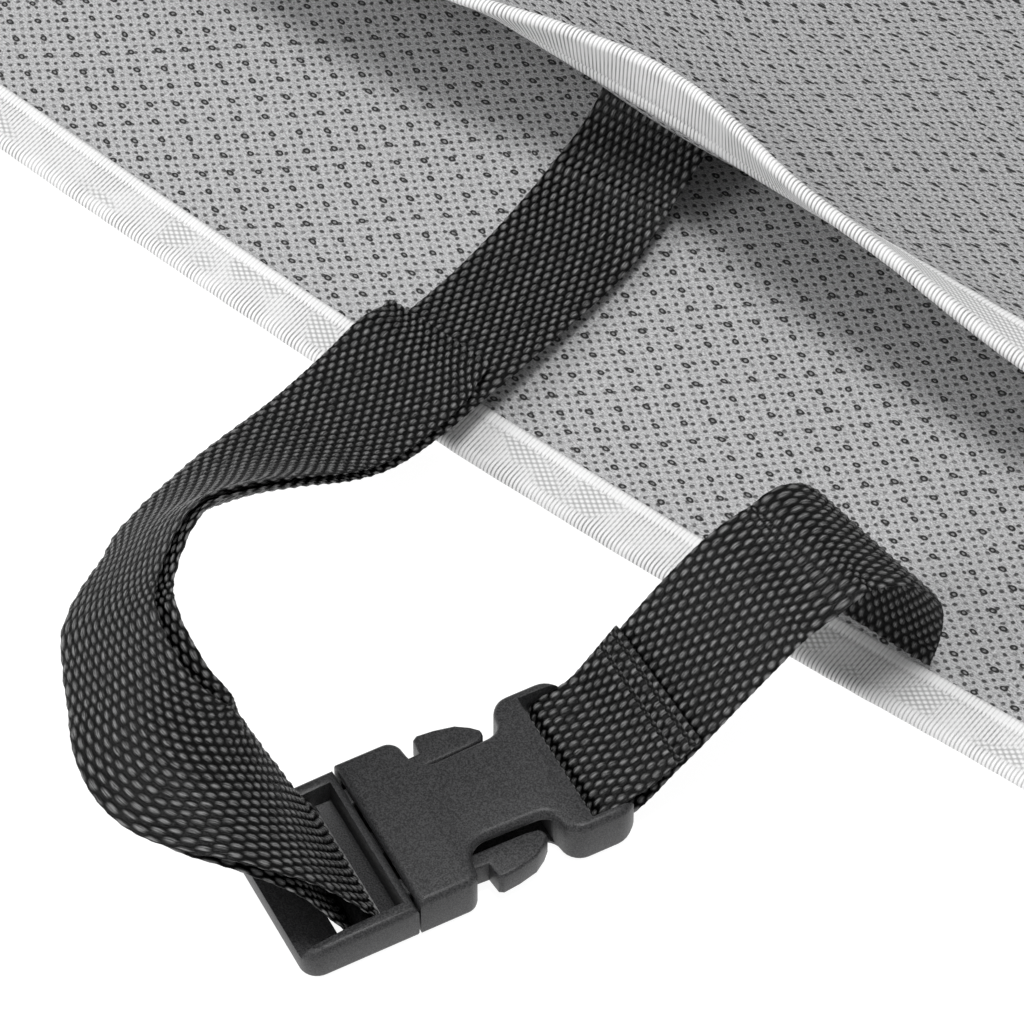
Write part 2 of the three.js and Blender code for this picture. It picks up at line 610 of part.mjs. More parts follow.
// The part's origin is at the centre of its base.
cover.updateMatrixWorld(true);
const box = new THREE.Box3().setFromObject(cover, true);
cover.position.set(-(box.min.x + box.max.x) / 2, -(box.min.y + box.max.y) / 2, -box.min.z);

export default cover;
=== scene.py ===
# The looks of a caravan drawbar cover that lies on its side with its mouth open: grey bonded cloth,
# white ribbed tape, black webbing and a side release buckle.
#
# Each section builds one piece in millimetres, with X along the hem, +Y into the cover and the origin
# on the middle of the lower hem, and then moves it to its place in the part's frame.

import bisect
import math

import bmesh
import bpy
from mathutils import Euler, Matrix, Vector, noise


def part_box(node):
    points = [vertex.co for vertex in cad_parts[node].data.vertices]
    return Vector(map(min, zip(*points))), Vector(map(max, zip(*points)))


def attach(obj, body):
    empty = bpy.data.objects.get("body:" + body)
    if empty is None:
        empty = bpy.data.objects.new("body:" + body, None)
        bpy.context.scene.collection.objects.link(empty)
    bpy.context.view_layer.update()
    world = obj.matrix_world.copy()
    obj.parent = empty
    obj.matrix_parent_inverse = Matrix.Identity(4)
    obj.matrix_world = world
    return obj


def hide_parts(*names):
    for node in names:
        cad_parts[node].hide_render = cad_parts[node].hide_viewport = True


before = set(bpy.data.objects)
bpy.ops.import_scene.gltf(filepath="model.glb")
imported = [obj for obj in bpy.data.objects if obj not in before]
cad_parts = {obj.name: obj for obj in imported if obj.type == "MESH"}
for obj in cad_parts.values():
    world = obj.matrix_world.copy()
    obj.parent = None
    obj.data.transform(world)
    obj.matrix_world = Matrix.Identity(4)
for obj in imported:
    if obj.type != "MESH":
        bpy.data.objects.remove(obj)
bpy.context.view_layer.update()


# The camera stands 1.05 m off, in front of the hem and to its right, and looks down on the mouth
# of the cover. Its place came from the width of the webbing and the run of the hem.
TAPE_WIDTH = 10.3
HEM_START = -1.6
HEM_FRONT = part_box("binding_hem_lower")[0].y
HEM_TO_PART = Matrix.Translation((0, HEM_FRONT + (TAPE_WIDTH - HEM_START) / 1000, 0)) @ Matrix.Scale(0.001, 4)
VIEW_TARGET = HEM_TO_PART @ Vector((-20.1, -15.0, 0))
VIEW_AROUND = math.radians(37.5)
VIEW_DOWN = math.radians(52.5)
VIEW_DISTANCE = 1.05
PIXELS_PER_MM = 5.9
PICTURE_WIDTH = 1024

camera_data = bpy.data.cameras.new("photo_camera")
camera_data.sensor_width = 36
camera_data.lens = PIXELS_PER_MM * VIEW_DISTANCE * 1000 * camera_data.sensor_width / PICTURE_WIDTH
camera_data.clip_start = 0.05
camera = bpy.data.objects.new("photo_camera", camera_data)
bpy.context.scene.collection.objects.link(camera)
camera.rotation_euler = Euler((math.pi / 2 - VIEW_DOWN, 0, VIEW_AROUND))
toward = camera.rotation_euler.to_matrix() @ Vector((0, 0, 1))
camera.location = VIEW_TARGET + toward * VIEW_DISTANCE
bpy.context.scene.camera = camera


# The two side panels are cut from three-layer spunbond polypropylene, a soft grey nonwoven that is
# bonded by rows of small heated points. They are sewn together along the nose, the ridge and the
# rear; the upper one's hem is drawn back and stands up from the lower one. Lengths are in
# millimetres and angles in degrees.
HEM_HALF = 410
REAR_HEIGHT = 440
NOSE_HEIGHT = 330
REAR_RAKE = 14
NOSE_RAKE = 24
REAR_ROUND = 60
NOSE_ROUND = 150
HEM_BOW = 10
CLOTH = 1.0
HEM_RISE = 25.8
HEM_FALL = 0.022
HEM_SETBACK = 52.8
HEM_ARC = 2.3e-4
MOUTH_CENTRE = -25
MOUTH_FLAT = 135
MOUTH_REACH = 400
MOUTH_SLOPE = 16
MOUTH_DEPTH = 120
SHUT_DEPTH = 40
CURL_LENGTH = 7
CURL_STEPS = 6
LOWER_MIDDLE = 0.5
UPPER_MIDDLE = 2.0
HEM_LIFT = 0.8
SWELL = 7
SWELL_FROM = 125
IN_TAPE = 8.9
NEAR_HEM = 24

# How far the taped edge turns up along the upper hem: (place along the hem, degrees).
HEM_CURL = [
    (-410, 0), (-200, 1), (-120, 4), (-96, 26), (-73, 56), (-60, 79), (-42, 100), (-28, 92), (-15, 69),
    (-2, 56), (10, 51), (26, 35.5), (45, 17), (75, 8), (120, 4), (410, 0),
]


def mix(a, b, share):
    return a + (b - a) * share


def smooth(value, start, end):
    share = min(max((value - start) / (end - start), 0), 1)
    return share * share * (3 - 2 * share)


def linear(hex_colour):
    channels = [int(hex_colour[i:i + 2], 16) / 255 for i in (0, 2, 4)]
    return [c / 12.92 if c <= 0.04045 else ((c + 0.055) / 1.055) ** 2.4 for c in channels] + [1]


def hem_line(x):
    return HEM_START + HEM_BOW * (1 - math.cos(math.pi * x / (HEM_HALF + 0.3)))


def ridge_above(x):
    along = (x + HEM_HALF) / (2 * HEM_HALF)
    rear = REAR_RAKE - HEM_HALF
    nose = HEM_HALF - NOSE_RAKE
    place = mix(rear, nose, along)
    height = mix(REAR_HEIGHT, NOSE_HEIGHT, along)
    for distance, radius in ((place - rear, REAR_ROUND), (nose - place, NOSE_ROUND)):
        if distance < radius:
            height -= radius - math.sqrt(radius ** 2 - (radius - max(distance, 0)) ** 2)
    return height


def inward(x, hem, depth, z):
    along = (x + HEM_HALF) / (2 * HEM_HALF)
    share = max(depth, 0) / (ridge_above(x) - hem)
    return Vector((mix(REAR_RAKE * share - HEM_HALF, HEM_HALF - NOSE_RAKE * share, along), hem + depth, z))


def hem_turn(x):
    total = 0
    for near in (x - 6, x - 2, x + 2, x + 6):
        near = min(max(near, -HEM_HALF), HEM_HALF - 0.01)
        row = bisect.bisect_right(HEM_CURL, (near, 999))
        (x0, a0), (x1, a1) = HEM_CURL[row - 1], HEM_CURL[row]
        total += mix(a0, a1, (near - x0) / (x1 - x0)) / 4
    return math.radians(total)


def mouth_opening(x):
    # How far the mouth is open, from 0 at both ends of the hem to 1 in the middle.
    return 1 - smooth(abs(x - MOUTH_CENTRE), MOUTH_FLAT, MOUTH_REACH)


def lower_hem(x):
    # Where the cloth's edge line lies, the way out of the cloth and its outer side.
    return Vector((x, hem_line(x), LOWER_MIDDLE + HEM_LIFT)), Vector((0, -1, 0)), Vector((0, 0, 1))


def upper_hem(x):
    opening = mouth_opening(x)
    turn = hem_turn(x)
    y = mix(hem_line(x), HEM_SETBACK + HEM_ARC * x * x, opening)
    z = mix(UPPER_MIDDLE + 3 * HEM_LIFT, HEM_RISE - HEM_FALL * x, opening)
    out = Vector((0, -math.cos(turn), math.sin(turn)))
    return Vector((x, y, z)), out, Vector((0, math.sin(turn), math.cos(turn)))


def ripple(x, depth, seed):
    # Soft creases left by folding, at most a millimetre high.
    broad = noise.noise(Vector((x / 55, depth / 40, seed)))
    fine = noise.noise(Vector((x / 16, depth / 13, seed + 9)))
    return 0.9 * broad + 0.25 * fine


def lower_point(x, depth):
    lift = HEM_LIFT * (1 - smooth(depth, 0, NEAR_HEM))
    calm = smooth(depth, 4, 30)
    return inward(x, hem_line(x), depth, LOWER_MIDDLE + lift + 0.25 * calm * (1 + ripple(x, depth, 3)))


def upper_point(x, depth):
    place, out, _ = upper_hem(x)
    if depth <= 0:
        return place - out * depth
    turn = hem_turn(x)
    opening = mouth_opening(x)
    slope = math.radians(MOUTH_SLOPE) * opening
    bent = min(depth, CURL_LENGTH)
    y, z = place.y, place.z
    for i in range(CURL_STEPS):
        angle = mix(turn, slope, (i + 0.5) / CURL_STEPS * bent / CURL_LENGTH)
        y += bent / CURL_STEPS * math.cos(angle)
        z -= bent / CURL_STEPS * math.sin(angle)
    if depth <= CURL_LENGTH:
        return Vector((x, y, z))
    depth -= CURL_LENGTH
    reach = mix(SHUT_DEPTH, MOUTH_DEPTH, opening)
    left = max(1 - depth / reach, 0)
    height = UPPER_MIDDLE + (z - UPPER_MIDDLE) * left ** 1.6
    length = ridge_above(x) - y
    across = math.cos(math.pi * x / (2 * HEM_HALF))
    swell = math.sin(math.pi * max(depth - SWELL_FROM, 0) / max(length - SWELL_FROM, 1))
    height += SWELL * (swell * across) ** 2
    calm = smooth(depth, 0, 30) * (1 - smooth(depth, length - 40, length)) * across
    return inward(x, y, depth, height + calm * ripple(x, depth, 5))


def set_uv(bm, place_of):
    layer = bm.loops.layers.uv.new("cut")
    for face in bm.faces:
        for loop in face.loops:
            loop[layer].uv = place_of[loop.vert.index]


def panel_mesh(point, columns, rows):
    # A grid with one vertex for each place on the cut cloth, moved to where that place lies. A quarter
    # of its rows lie near the hem, where the cloth bends most.
    bm = bmesh.new()
    bmesh.ops.create_grid(bm, x_segments=columns, y_segments=rows, size=1)
    bm.verts.ensure_lookup_table()
    place_of = {}
    for vert in bm.verts:
        x = HEM_HALF * vert.co.x
        share = round((vert.co.y + 1) / 2 * rows) / rows
        if share < 0.25:
            depth = mix(-IN_TAPE, NEAR_HEM, share / 0.25)
        else:
            start = upper_hem(x)[0].y + CURL_LENGTH if point is upper_point else hem_line(x)
            full = ridge_above(x) - start + (CURL_LENGTH if point is upper_point else 0)
            depth = mix(NEAR_HEM, full, ((share - 0.25) / 0.75) ** 1.5)
        place_of[vert.index] = (x, depth)
        vert.co = point(x, depth)
    set_uv(bm, place_of)
    bmesh.ops.recalc_face_normals(bm, faces=bm.faces)
    return bm


def fit(name, bm, finish, node, thickness=0):
    # A finished piece in the part's frame, in place of its plain solid.
    bmesh.ops.transform(bm, matrix=HEM_TO_PART, verts=bm.verts)
    mesh = bpy.data.meshes.new(name)
    bm.to_mesh(mesh)
    bm.free()
    for polygon in mesh.polygons:
        polygon.use_smooth = True
    mesh.materials.append(finish)
    piece = bpy.data.objects.new(name, mesh)
    bpy.context.scene.collection.objects.link(piece)
    if thickness:
        wall = piece.modifiers.new("cloth", "SOLIDIFY")
        wall.thickness = thickness / 1000
        wall.offset = 0
    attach(piece, "root")
    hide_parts(node)
    return piece


def new_finish(name):
    material = bpy.data.materials.new(name)
    material.use_nodes = True
    tree = material.node_tree
    return material, tree, tree.nodes["Principled BSDF"]


def node(tree, kind, inputs=(), **settings):
    # One shader node: settings are its properties, and inputs pairs of a socket and its value or link.
    added = tree.nodes.new(kind)
    for name, value in settings.items():
        setattr(added, name, value)
    for socket, value in dict(inputs).items():
        if isinstance(value, bpy.types.NodeSocket):
            tree.links.new(value, added.inputs[socket])
        else:
            added.inputs[socket].default_value = value
    return added


def lattice(tree, place, along, across, stretch):
    # Distance to the nearest point of a centred lattice, in units of the stretch of one mark. along and
    # across are the two spacings in mm, and every other row is shifted by half.
    nearest = None
    for offset in (0.0, 0.5):
        cell = node(tree, "ShaderNodeVectorMath", {0: place, 1: (1 / along, 1 / across, 0),
            2: (offset, offset, 0)}, operation="MULTIPLY_ADD").outputs[0]
        part = node(tree, "ShaderNodeVectorMath", {0: cell}, operation="FRACTION").outputs[0]
        centred = node(tree, "ShaderNodeVectorMath", {0: part, 1: (0.5, 0.5, 0)},
            operation="SUBTRACT").outputs[0]
        marks = (along / stretch[0], across / stretch[1], 0)
        sized = node(tree, "ShaderNodeVectorMath", {0: centred, 1: marks}, operation="MULTIPLY").outputs[0]
        length = node(tree, "ShaderNodeVectorMath", {0: sized}, operation="LENGTH").outputs["Value"]
        nearest = length if nearest is None else node(tree, "ShaderNodeMath", {0: nearest, 1: length},
            operation="MINIMUM").outputs[0]
    return nearest


def band(tree, value, low, high, to_low=0.0, to_high=1.0):
    return node(tree, "ShaderNodeMapRange", {"Value": value, "From Min": low, "From Max": high,
        "To Min": to_low, "To Max": to_high}, interpolation_type="SMOOTHSTEP").outputs[0]


def cloth_finish(name, colour, dot_colour, dot_size, ring_size, ring_hollow, dot_strength):
    # Spunbond polypropylene: a matt felt of fine fibres. Bonding points 0.5 mm wide stand 2.5 mm apart,
    # and larger ring-shaped points of the second pass about 4 mm apart.
    material, tree, shader = new_finish(name)
    cut = node(tree, "ShaderNodeUVMap", uv_map="cut").outputs[0]
    wander = node(tree, "ShaderNodeTexNoise", {"Vector": cut, "Scale": 0.35, "Detail": 3.0}).outputs["Color"]
    moved = node(tree, "ShaderNodeVectorMath", {0: wander, 1: (1.1, 0.8, 0), 2: cut},
        operation="MULTIPLY_ADD").outputs[0]
    skew = (0, 0, math.radians(-1.8))
    turned = node(tree, "ShaderNodeMapping", {"Vector": moved, "Rotation": skew}).outputs[0]
    dots = lattice(tree, turned, 2.5, 2.24, dot_size)
    uneven = node(tree, "ShaderNodeTexNoise", {"Vector": turned, "Scale": 0.55, "Detail": 2.0}).outputs["Fac"]
    dot = node(tree, "ShaderNodeMath", {0: band(tree, dots, 1.15, 0.65),
        1: band(tree, uneven, 0.3, 0.55, 0.5, 1.0)}, operation="MULTIPLY").outputs[0]

    # The rings stand on their own slanted lattice: (3.75, 3.37) and (3.5, -2.46) mm.
    steps = ((3.75, 3.37), (3.5, -2.46))
    area = steps[0][0] * steps[1][1] - steps[0][1] * steps[1][0]
    inverse = ((steps[1][1] / area, -steps[1][0] / area, 0), (-steps[0][1] / area, steps[0][0] / area, 0))
    shares = []
    for row in inverse:
        along = node(tree, "ShaderNodeVectorMath", {0: turned, 1: row},
            operation="DOT_PRODUCT").outputs["Value"]
        fraction = node(tree, "ShaderNodeMath", {0: along}, operation="FRACT").outputs[0]
        shares.append(node(tree, "ShaderNodeMath", {0: fraction, 1: 0.5}, operation="SUBTRACT").outputs[0])
    pair = node(tree, "ShaderNodeCombineXYZ", {0: shares[0], 1: shares[1]}).outputs[0]
    sides = []
    for side, size in enumerate(ring_size):
        back = (steps[0][side] / size, steps[1][side] / size, 0)
        sides.append(node(tree, "ShaderNodeVectorMath", {0: pair, 1: back},
            operation="DOT_PRODUCT").outputs["Value"])
    ring_place = node(tree, "ShaderNodeCombineXYZ", {0: sides[0], 1: sides[1]}).outputs[0]
    from_ring = node(tree, "ShaderNodeVectorMath", {0: ring_place}, operation="LENGTH").outputs["Value"]
    edge = band(tree, from_ring, 1.25, 0.95)
    hollow = band(tree, from_ring, 0.62, 0.25, 0.0, ring_hollow)
    ring = node(tree, "ShaderNodeMath", {0: edge, 1: hollow}, operation="SUBTRACT", use_clamp=True).outputs[0]

    faint = node(tree, "ShaderNodeMath", {0: dot, 1: dot_strength}, operation="MULTIPLY").outputs[0]
    marks = node(tree, "ShaderNodeMath", {0: faint, 1: ring}, operation="MAXIMUM").outputs[0]
    stretched = node(tree, "ShaderNodeMapping", {"Vector": cut, "Scale": (1.9, 3.6, 1)}).outputs[0]
    fibres = node(tree, "ShaderNodeTexNoise", {"Vector": stretched, "Scale": 1.0, "Detail": 6.0,
        "Roughness": 0.7}).outputs["Fac"]
    felt = node(tree, "ShaderNodeMix", {"Factor": band(tree, fibres, 0.34, 0.66), 6: linear(colour[0]),
        7: linear(colour[1])}, data_type="RGBA").outputs[2]
    marked = node(tree, "ShaderNodeMix", {"Factor": marks, 6: felt, 7: linear(dot_colour)},
        data_type="RGBA").outputs[2]
    tree.links.new(marked, shader.inputs["Base Color"])
    pressed = node(tree, "ShaderNodeMath", {0: marks, 1: 0.9}, operation="MULTIPLY").outputs[0]
    sunk = node(tree, "ShaderNodeMath", {0: fibres, 1: pressed}, operation="SUBTRACT").outputs[0]
    bump = node(tree, "ShaderNodeBump", {"Height": sunk, "Strength": 0.8, "Distance": 0.0004}).outputs[0]
    tree.links.new(bump, shader.inputs["Normal"])
    shader.inputs["Roughness"].default_value = 0.9
    shader.inputs["Specular IOR Level"].default_value = 0.25
    shader.inputs["Sheen Weight"].default_value = 0.15
    return material


inner_cloth = cloth_finish("spunbond_inner_face", ("8c8c8d", "dadadb"), "262626",
    (0.46, 0.38), (0.72, 0.47), 0.55, 0.9)
outer_cloth = cloth_finish("spunbond_outer_face", ("6e6e6f", "cfcfd0"), "121212",
    (0.64, 0.28), (0.85, 0.27), 0.0, 0.95)

# The area of one cut panel in square metres, summed over narrow strips from hem to ridge.
STRIPS = 200
panel_area = 0.0
for strip in range(STRIPS):
    middle = -HEM_HALF + (strip + 0.5) * 2 * HEM_HALF / STRIPS
    panel_area += (ridge_above(middle) - hem_line(middle) + IN_TAPE) * (2 * HEM_HALF / STRIPS) / 1e6

lower_mesh = panel_mesh(lower_point, 220, 110)
panel_lower = fit("side_panel_lower", lower_mesh, inner_cloth, "panel_lower", CLOTH)
upper_mesh = panel_mesh(upper_point, 300, 130)
panel_upper = fit("side_panel_upper", upper_mesh, outer_cloth, "panel_upper", CLOTH)


# Both hems are bound with white polyester grosgrain tape 25 mm wide, folded over the edge of the
# cloth and sewn through once beside its inner selvage. Its weft ribs run across it.
RIB = 0.78
THREAD = 0.6
TAPE_OUTER = 1.3
TAPE_INNER = 0.55
ROUND_FOLD = 4.1
SELVAGE = 1.9
SEAM = 2.3
SEAM_DEPTH = 0.22
RIB_ON_FACE = 0.06
RIB_ON_FOLD = 0.11
UNEVEN = 0.06
TAPE_WANDER = 0.3
FINE_FROM = -172
FINE_TO = 112


def close_sleeve(bm, place_of):
    # A grid bent round on itself becomes one closed skin.
    set_uv(bm, place_of)
    bmesh.ops.remove_doubles(bm, verts=bm.verts, dist=1e-4)
    bmesh.ops.holes_fill(bm, edges=[edge for edge in bm.edges if edge.is_boundary], sides=0)
    bmesh.ops.recalc_face_normals(bm, faces=bm.faces)


def tape_section():
    # Points round the folded tape: distance out from the cloth's edge line, distance off the cloth's
    # middle, and place across the flat tape.
    fold = TAPE_WIDTH - TAPE_OUTER
    steps = 8
    flats = [0, 0.6, 1.3, SELVAGE, SEAM, 2.8] + [mix(3.4, fold, i / steps) for i in range(steps)]
    points = [(out, TAPE_OUTER, out) for out in flats]
    for i in range(steps + 1):
        angle = math.pi / 2 - math.pi * i / steps
        points.append((fold + TAPE_OUTER * math.cos(angle), TAPE_OUTER * math.sin(angle),
            fold + ROUND_FOLD * i / steps))
    points += [(out, -TAPE_OUTER, 2 * fold + ROUND_FOLD - out) for out in reversed(flats)]
    inside = (0, 3, 7, fold - 0.2)
    points += [(out, -TAPE_INNER, 2 * fold + ROUND_FOLD) for out in inside]
    points.append((fold + 0.5, 0, 2 * fold + ROUND_FOLD))
    points += [(out, TAPE_INNER, 0) for out in reversed(inside)]
    return points


def tape_stations():
    # Places along the hem, four to a rib in the mouth and two ribs apart beyond it.
    stations = []
    x = -HEM_HALF
    while x < HEM_HALF:
        stations.append(x)
        x += RIB / 4 if FINE_FROM <= x < FINE_TO else 2 * RIB
    return stations + [HEM_HALF]


def tape_mesh(hem, seed):
    # The folded tape along a hem, its ribs and its sunk seam raised or lowered on its outer side.
    section = tape_section()
    stations = tape_stations()
    count = len(section)
    bm = bmesh.new()
    bmesh.ops.create_grid(bm, x_segments=len(stations) - 1, y_segments=count, size=1)
    place_of = {}
    frames = [hem(x) for x in stations]
    for vert in bm.verts:
        i = round((vert.co.x + 1) / 2 * (len(stations) - 1))
        j = round((vert.co.y + 1) / 2 * count)
        x = stations[i]
        place, out_way, normal = frames[i]
        out, off, across = section[j % count]
        fine = FINE_FROM <= x < FINE_TO
        rib = abs(math.sin(math.pi * x / RIB)) ** 0.7
        outside = abs(off) > TAPE_INNER + 0.01 or out > TAPE_WIDTH - TAPE_OUTER + 0.6
        raised = 0.0
        if outside:
            depth = RIB_ON_FACE if out < TAPE_WIDTH - TAPE_OUTER else RIB_ON_FOLD
            raised += depth * (rib - 1) if fine else -RIB_ON_FACE
            raised -= SEAM_DEPTH if abs(out - SEAM) < 0.1 else 0
            raised += UNEVEN * noise.noise(Vector((x / 4, across / 3, seed)))
        drift = TAPE_WANDER * noise.noise(Vector((x / 22, seed, 0.5))) * smooth(out, 0, 8)
        size = 1 + raised / max(abs(off), 0.9)
        stretch = raised if out > TAPE_WIDTH - TAPE_OUTER else 0
        vert.co = place + out_way * (out + stretch + drift) + normal * off * (size if outside else 1)
        place_of[vert.index] = (x, across if j < count else 0)
    close_sleeve(bm, place_of)
    return bm


def grosgrain(name, first, full):
    # Polyester grosgrain of bleached white filament yarn; the thin grey lines between its ribs, and between
    # its threads where the weave shows, are painted shade. Where it lies slack its plain weave shows as dots;
    # first and full say over how much of the tape.
    material, tree, shader = new_finish(name)
    cut = node(tree, "ShaderNodeUVMap", uv_map="cut").outputs[0]
    threads = band(tree, lattice(tree, cut, 2 * RIB, 2 * THREAD, (0.55, 0.44)), 1.2, 0.3, 0.25, 1.0)
    sides = node(tree, "ShaderNodeSeparateXYZ", {0: cut}).outputs
    turn = node(tree, "ShaderNodeMath", {0: sides["X"], 1: math.pi / RIB}, operation="MULTIPLY").outputs[0]
    wave = node(tree, "ShaderNodeMath", {0: turn}, operation="SINE").outputs[0]
    rib = node(tree, "ShaderNodeMath", {0: wave}, operation="ABSOLUTE").outputs[0]
    wander = node(tree, "ShaderNodeTexNoise", {"Vector": cut, "Scale": 0.16, "Detail": 2.0}).outputs["Fac"]
    line = node(tree, "ShaderNodeMix", {"Factor": band(tree, wander, 0.35, 0.65, 0.0, 0.45),
        2: band(tree, rib, 0.05, 0.75), 3: 1.0}, data_type="FLOAT").outputs[0]
    past_selvage = band(tree, sides["Y"], 1.8, 2.6)
    before_fold = band(tree, sides["Y"], 9.0, 7.4)
    face = node(tree, "ShaderNodeMath", {0: past_selvage, 1: before_fold}, operation="MULTIPLY").outputs[0]
    patches = node(tree, "ShaderNodeTexNoise", {"Vector": cut, "Scale": 0.09, "Detail": 1.0}).outputs["Fac"]
    slack = node(tree, "ShaderNodeMath", {0: face, 1: band(tree, patches, first, full, 0.2, 1.0)},
        operation="MULTIPLY").outputs[0]
    dotted = node(tree, "ShaderNodeMix", {"Factor": slack, 2: line, 3: threads}, data_type="FLOAT").outputs[0]
    selvage = band(tree, sides["Y"], 2.2, 1.7, 0.0, 0.6)
    weave = node(tree, "ShaderNodeMix", {"Factor": selvage, 2: dotted, 3: 1.0}, data_type="FLOAT").outputs[0]
    # The grey mixed in between the ribs and threads is painted shade in the grooves.
    white = node(tree, "ShaderNodeMix", {"Factor": weave, 6: linear("8e8e8e"), 7: linear("eaeaea")},
        data_type="RGBA").outputs[2]
    tree.links.new(white, shader.inputs["Base Color"])
    raised = node(tree, "ShaderNodeBump", {"Height": weave, "Strength": 0.7, "Distance": 0.00025}).outputs[0]
    tree.links.new(raised, shader.inputs["Normal"])
    shader.inputs["Roughness"].default_value = 0.6
    shader.inputs["Specular IOR Level"].default_value = 0.35
    shader.inputs["Sheen Weight"].default_value = 0.2
    return material


tape_taut = grosgrain("polyester_grosgrain_taut", 0.5, 0.62)
tape_slack = grosgrain("polyester_grosgrain_slack", 0.2, 0.36)

binding_lower = fit("hem_binding_lower", tape_mesh(lower_hem, 2.0), tape_taut, "binding_hem_lower")
binding_upper = fit("hem_binding_upper", tape_mesh(upper_hem, 6.0), tape_slack, "binding_hem_upper")


# The straps are 25 mm polypropylene webbing. The long one is sewn inside the upper panel and doubled
# back through the adjuster; the short one is sewn to the lower hem and its end is folded back round
# the bar of the buckle's lug and sewn.
WEBBING = 25.0
WEB = 1.15
LAYER = 0.7
FLOAT_LENGTH = 3.6
FLOAT_WIDTH = WEBBING / 14
FLOAT_SIZE = (1.25, 0.8)
FLOAT_HEIGHT = 0.5
CELLS = 56

# The rim over which a strap thins out to its edges, and how much the edges bulge, lump and wander.
RIM = 1.1
RIM_SHARE = 0.45
EDGE_BULGE = 0.12
EDGE_LUMP = 0.16
WANDER = 0.35

# Steps along a strap from row to row and round its bar, and the power by which its tail leaves it.
ROW_STEPS = 12
TURN_STEPS = 12
TAIL_SPREAD = 12

# From the sewn end to the bar: x, y and z of the middle of the two layers, the heading across the
# strap and the tilt of its right edge in degrees, and half the distance between the layers.
LONG_STRAP = [
    (-48, 104, 9.8, 0, 0, LAYER), (-48, 88, 12.9, 0, 0, LAYER), (-48, 76, 15.2, -1, 0, LAYER),
    (-48, 66, 13.6, -4, 5, LAYER), (-48, 58, 9.2, -6, 10, LAYER), (-48, 49, 5.6, -5, 8, LAYER),
    (-47, 36, 4.2, -1, 5, LAYER), (-46.8, 20, 4.6, 1, 8, LAYER), (-46.5, 3.8, 7.2, 1, 7, LAYER),
    (-46.9, -4.6, 9.7, 0, -1, LAYER), (-46.4, -15.6, 12.4, 1, 0, LAYER),
    (-46, -29.4, 16.5, 2, 5, LAYER), (-45.9, -42.4, 22.6, 6, 14, LAYER),
    (-45.3, -55.5, 30.4, 10, 28, LAYER), (-44.6, -67.9, 37.4, 13, 41, LAYER),
    (-43.4, -79.4, 42, 16, 51, LAYER),
    (-39.7, -92.4, 40.7, 18, 48, 0.9), (-35.2, -97.5, 38.8, 25, 48, 1.1), (-30.1, -101, 36.5, 36, 45, 1.2),
    (-24.5, -104.1, 33.9, 51, 35, 1.2), (-18.3, -105.5, 31.2, 71, 19, 1.2), (-11.9, -104.6, 28.1, 97, 2, 1.2),
    (-6.2, -102.2, 24.7, 122, -7, 1.2), (-1.2, -98.8, 18.3, 142, -5, 1.5), (2.2, -95.8, 10.2, 154, 2, 2.2),
    (3.3, -93.4, 4.4, 155, 0, 2.6),
]

# The loose end: its row, how far it has slipped sideways, its turn in degrees, and how far both layers
# have slipped from the middle in the loop, which is between the rows in LOOP.
LONG_TAIL = (8, -3.5, -9, 1.2)
LOOP = (13, 17, 18, 23)

# Rows of stitches across the straps, as places along them and how far the weave rises there.
LONG_SEAMS = [(6.0, -0.3), (9.0, -0.3), (57.0, 0.3)]
SHORT_SEAMS = [(-1.5, -0.35), (-5.0, -0.35)]

SHORT_STRAP = [
    (43.1, 0.2, 3.4, 1, 0, LAYER), (43.2, 2.2, 6.9, 0, 0, LAYER), (44, 3, 13.5, -4, 0, LAYER),
    (44.5, 2.4, 20.8, -8, 0, LAYER), (44, -0.6, 28.2, -12, 0, LAYER), (42.8, -5, 34.1, -16, 0, LAYER),
    (40.4, -10.8, 37.3, -20, 0, LAYER), (38.9, -17, 36.9, -21, -2, LAYER),
    (36.3, -22.7, 34.4, -20, -4, LAYER), (34.1, -28, 30.4, -19, -6, LAYER),
    (31.6, -33.8, 24.9, -19, -6, LAYER), (29.1, -39.4, 18.7, -20, -5, LAYER),
    (26.7, -43.8, 12.8, -22, -3, LAYER), (24.8, -47.4, 8.2, -25, 0, 1.5),
    (22.4, -52.5, 5.2, -25, 0, 2.5),
]
SHORT_TAIL = (11, 0, 0, 0)


def curve_value(rows, t):
    # A smooth value through rows of numbers, t counting the rows.
    i = min(int(t), len(rows) - 2)
    f = t - i
    b, c = rows[i], rows[i + 1]
    a = rows[i - 1] if i > 0 else [2 * p - q for p, q in zip(b, c)]
    d = rows[i + 2] if i + 2 < len(rows) else [2 * q - p for p, q in zip(b, c)]
    return [0.5 * (2 * q + (r - p) * f + (2 * p - 5 * q + 4 * r - s) * f * f
        + (3 * q - p - 3 * r + s) * f ** 3) for p, q, r, s in zip(a, b, c, d)]


